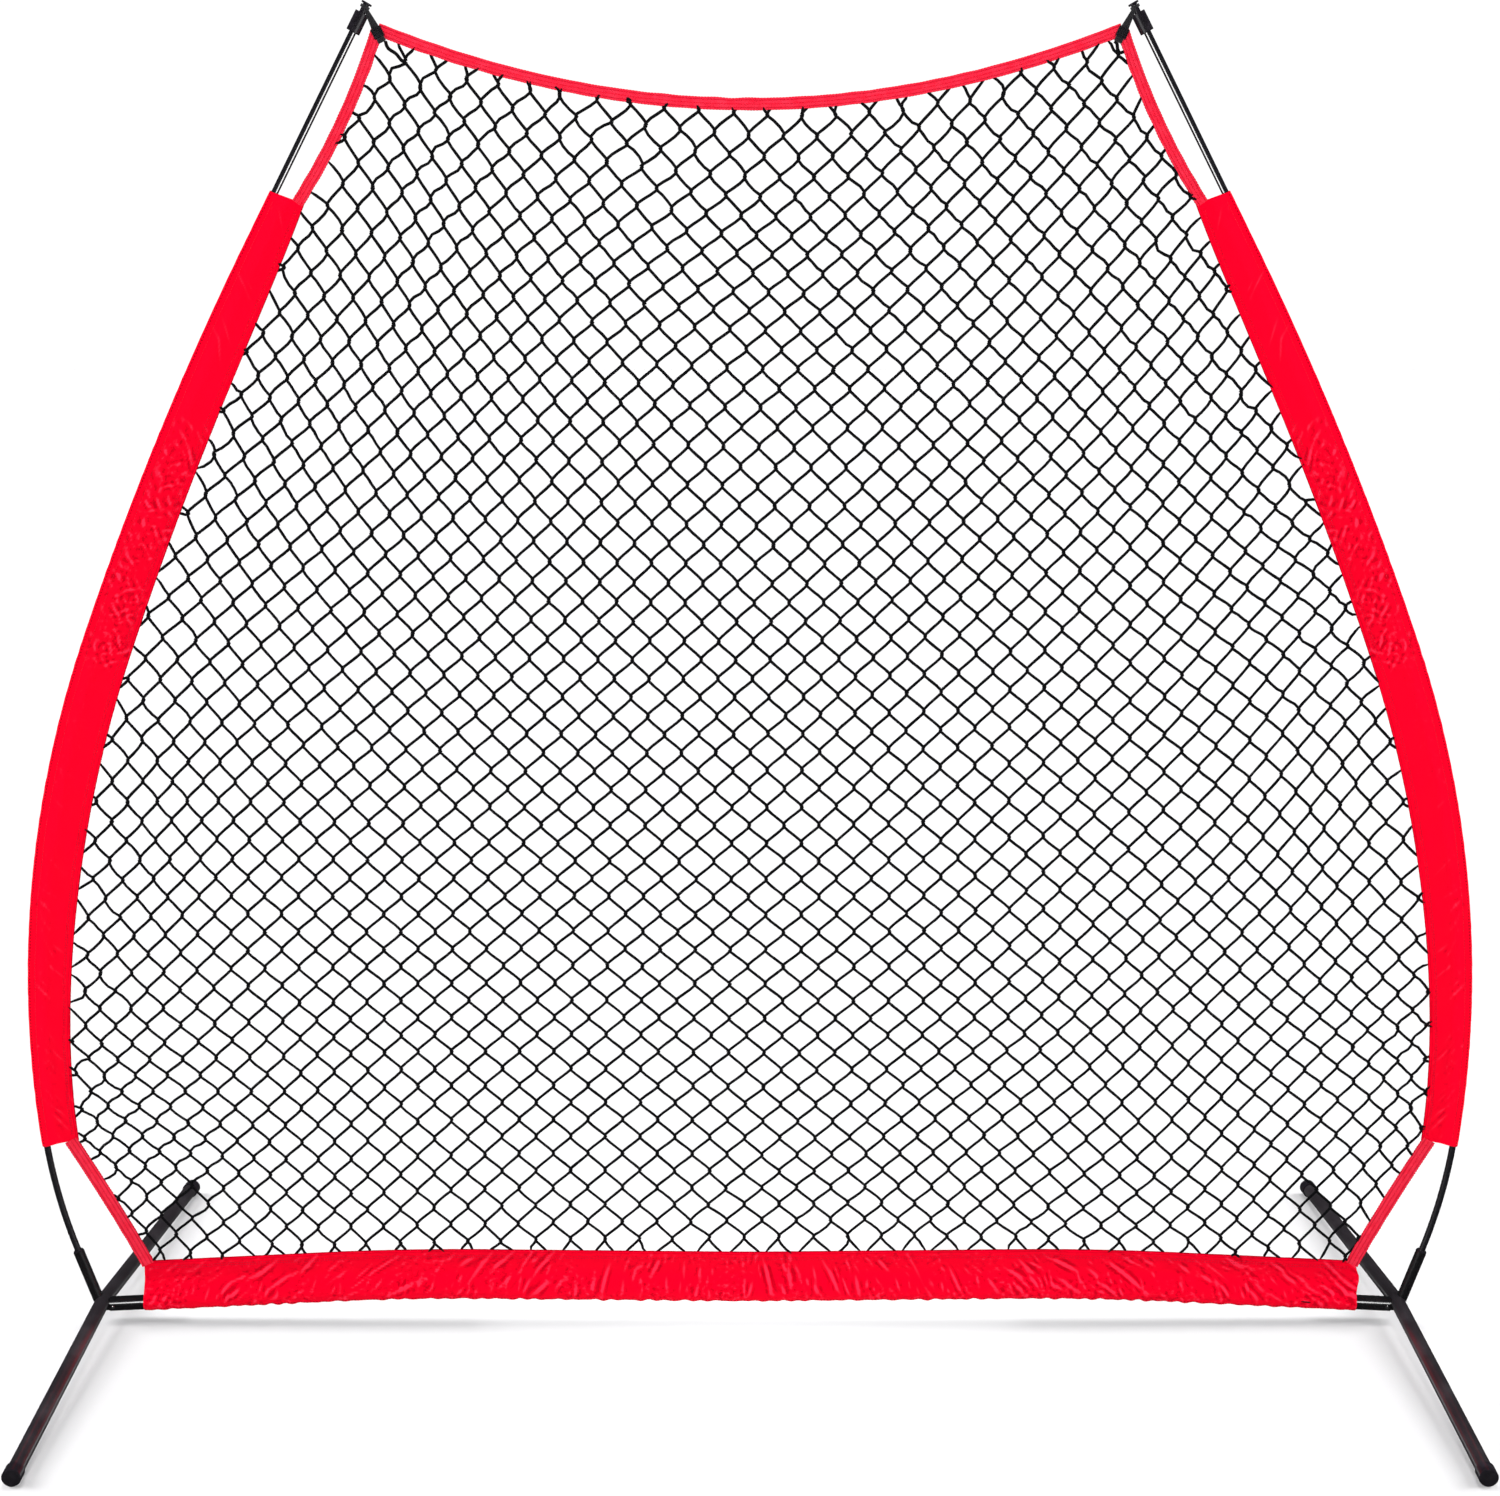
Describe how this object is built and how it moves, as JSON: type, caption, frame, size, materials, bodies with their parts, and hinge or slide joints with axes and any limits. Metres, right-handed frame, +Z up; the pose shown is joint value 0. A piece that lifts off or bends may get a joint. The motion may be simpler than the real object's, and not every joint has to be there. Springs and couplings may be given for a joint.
{
  "type": "pitching target net",
  "caption": "Free-standing ball net: two bowed poles on steel feet with a crossbar, a black diamond mesh, red cloth sleeves and webbing, snap buttons and strap sliders.",
  "frame": {"origin": "on the ground under the middle of the crossbar, halfway between the front and rear feet", "axes": "+X across the net to the right seen from the front, +Y from the front to the back, +Z up"},
  "size_m": [2.1406, 0.8994, 1.9173],
  "materials": {
    "frame_paint": "gloss black powder coat over steel tube",
    "foot_paint": "satin black powder coat over steel tube",
    "pole_resin": "gloss black resin over fibreglass",
    "cap_plastic": "satin black moulded plastic",
    "slider_plastic": "black moulded acetal",
    "sleeve_cloth": "coated woven nylon, bright red, lightly creased",
    "binding_webbing": "ribbed polyester webbing, bright red, stitched",
    "net_twine": "knotless black twine, woven as a diamond mesh",
    "strap_elastic": "woven black elastic",
    "shock_cord": "rubber cord in a woven black cover",
    "spring_steel": "bright spring steel",
    "button_steel": "dark zinc-plated steel",
    "ferrule_steel": "drawn steel tube"
  },
  "bodies": {
    "root": {"bottom_sleeve": "sleeve_cloth", "crossbar_shock_cord": "shock_cord", "left_corner_strap": "strap_elastic", "left_crossbar_stub": "foot_paint", "left_foot_tube": "foot_paint", "left_front_foot_cap": "cap_plastic", "left_inner_crossbar": "frame_paint", "left_lower_binding": "binding_webbing", "left_outer_crossbar": "frame_paint", "left_pole_ferrule_1": "ferrule_steel", "left_pole_ferrule_2": "ferrule_steel", "left_pole_ferrule_3": "ferrule_steel", "left_pole_section_1": "pole_resin", "left_pole_section_2": "pole_resin", "left_pole_section_3": "pole_resin", "left_pole_section_4": "pole_resin", "left_pole_shock_cord": "shock_cord", "left_pole_socket": "foot_paint", "left_quarter_spigot": "ferrule_steel", "left_rear_foot_cap": "cap_plastic", "left_side_sleeve": "sleeve_cloth", "left_snap_clip": "spring_steel", "left_socket_bush": "cap_plastic", "left_upper_binding": "binding_webbing", "middle_spigot": "ferrule_steel", "net": "net_twine", "right_corner_strap": "strap_elastic", "right_crossbar_stub": "foot_paint", "right_foot_tube": "foot_paint", "right_front_foot_cap": "cap_plastic", "right_inner_crossbar": "frame_paint", "right_lower_binding": "binding_webbing", "right_outer_crossbar": "frame_paint", "right_pole_ferrule_1": "ferrule_steel", "right_pole_ferrule_2": "ferrule_steel", "right_pole_ferrule_3": "ferrule_steel", "right_pole_section_1": "pole_resin", "right_pole_section_2": "pole_resin", "right_pole_section_3": "pole_resin", "right_pole_section_4": "pole_resin", "right_pole_shock_cord": "shock_cord", "right_pole_socket": "foot_paint", "right_quarter_spigot": "ferrule_steel", "right_rear_foot_cap": "cap_plastic", "right_side_sleeve": "sleeve_cloth", "right_snap_clip": "spring_steel", "right_socket_bush": "cap_plastic", "right_upper_binding": "binding_webbing", "top_binding": "binding_webbing"},
    "left_snap_button": {"left_snap_button": "button_steel"},
    "left_tip_cap": {"left_tip_cap": "cap_plastic"},
    "left_strap_slider": {"left_strap_slider": "slider_plastic"},
    "right_snap_button": {"right_snap_button": "button_steel"},
    "right_tip_cap": {"right_tip_cap": "cap_plastic"},
    "right_strap_slider": {"right_strap_slider": "slider_plastic"}
  },
  "joints": [
    {"name": "left_snap_button_press", "type": "slide", "parent": "root", "child": "left_snap_button", "axis": [0, 1, 0], "range_m": [0, 0.004], "stiffness_N_per_m": 1500, "springref_m": -0.003, "deforming": ["left_snap_clip"]},
    {"name": "left_tip_cap_turn", "type": "hinge", "parent": "root", "child": "left_tip_cap", "pos_m": [-0.51868, 0, 1.89642], "axis": [0.4848, 0, 0.8746], "continuous": true},
    {"name": "left_strap_slider_slide", "type": "slide", "parent": "root", "child": "left_strap_slider", "axis": [-0.4405, 0, 0.8977], "range_m": [0, 0.008]},
    {"name": "right_snap_button_press", "type": "slide", "parent": "root", "child": "right_snap_button", "axis": [0, 1, 0], "range_m": [0, 0.004], "stiffness_N_per_m": 1500, "springref_m": -0.003, "deforming": ["right_snap_clip"]},
    {"name": "right_tip_cap_turn", "type": "hinge", "parent": "root", "child": "right_tip_cap", "pos_m": [0.51868, 0, 1.89642], "axis": [-0.4848, 0, 0.8746], "continuous": true},
    {"name": "right_strap_slider_slide", "type": "slide", "parent": "root", "child": "right_strap_slider", "axis": [0.4405, 0, 0.8977], "range_m": [0, 0.008]}
  ]
}
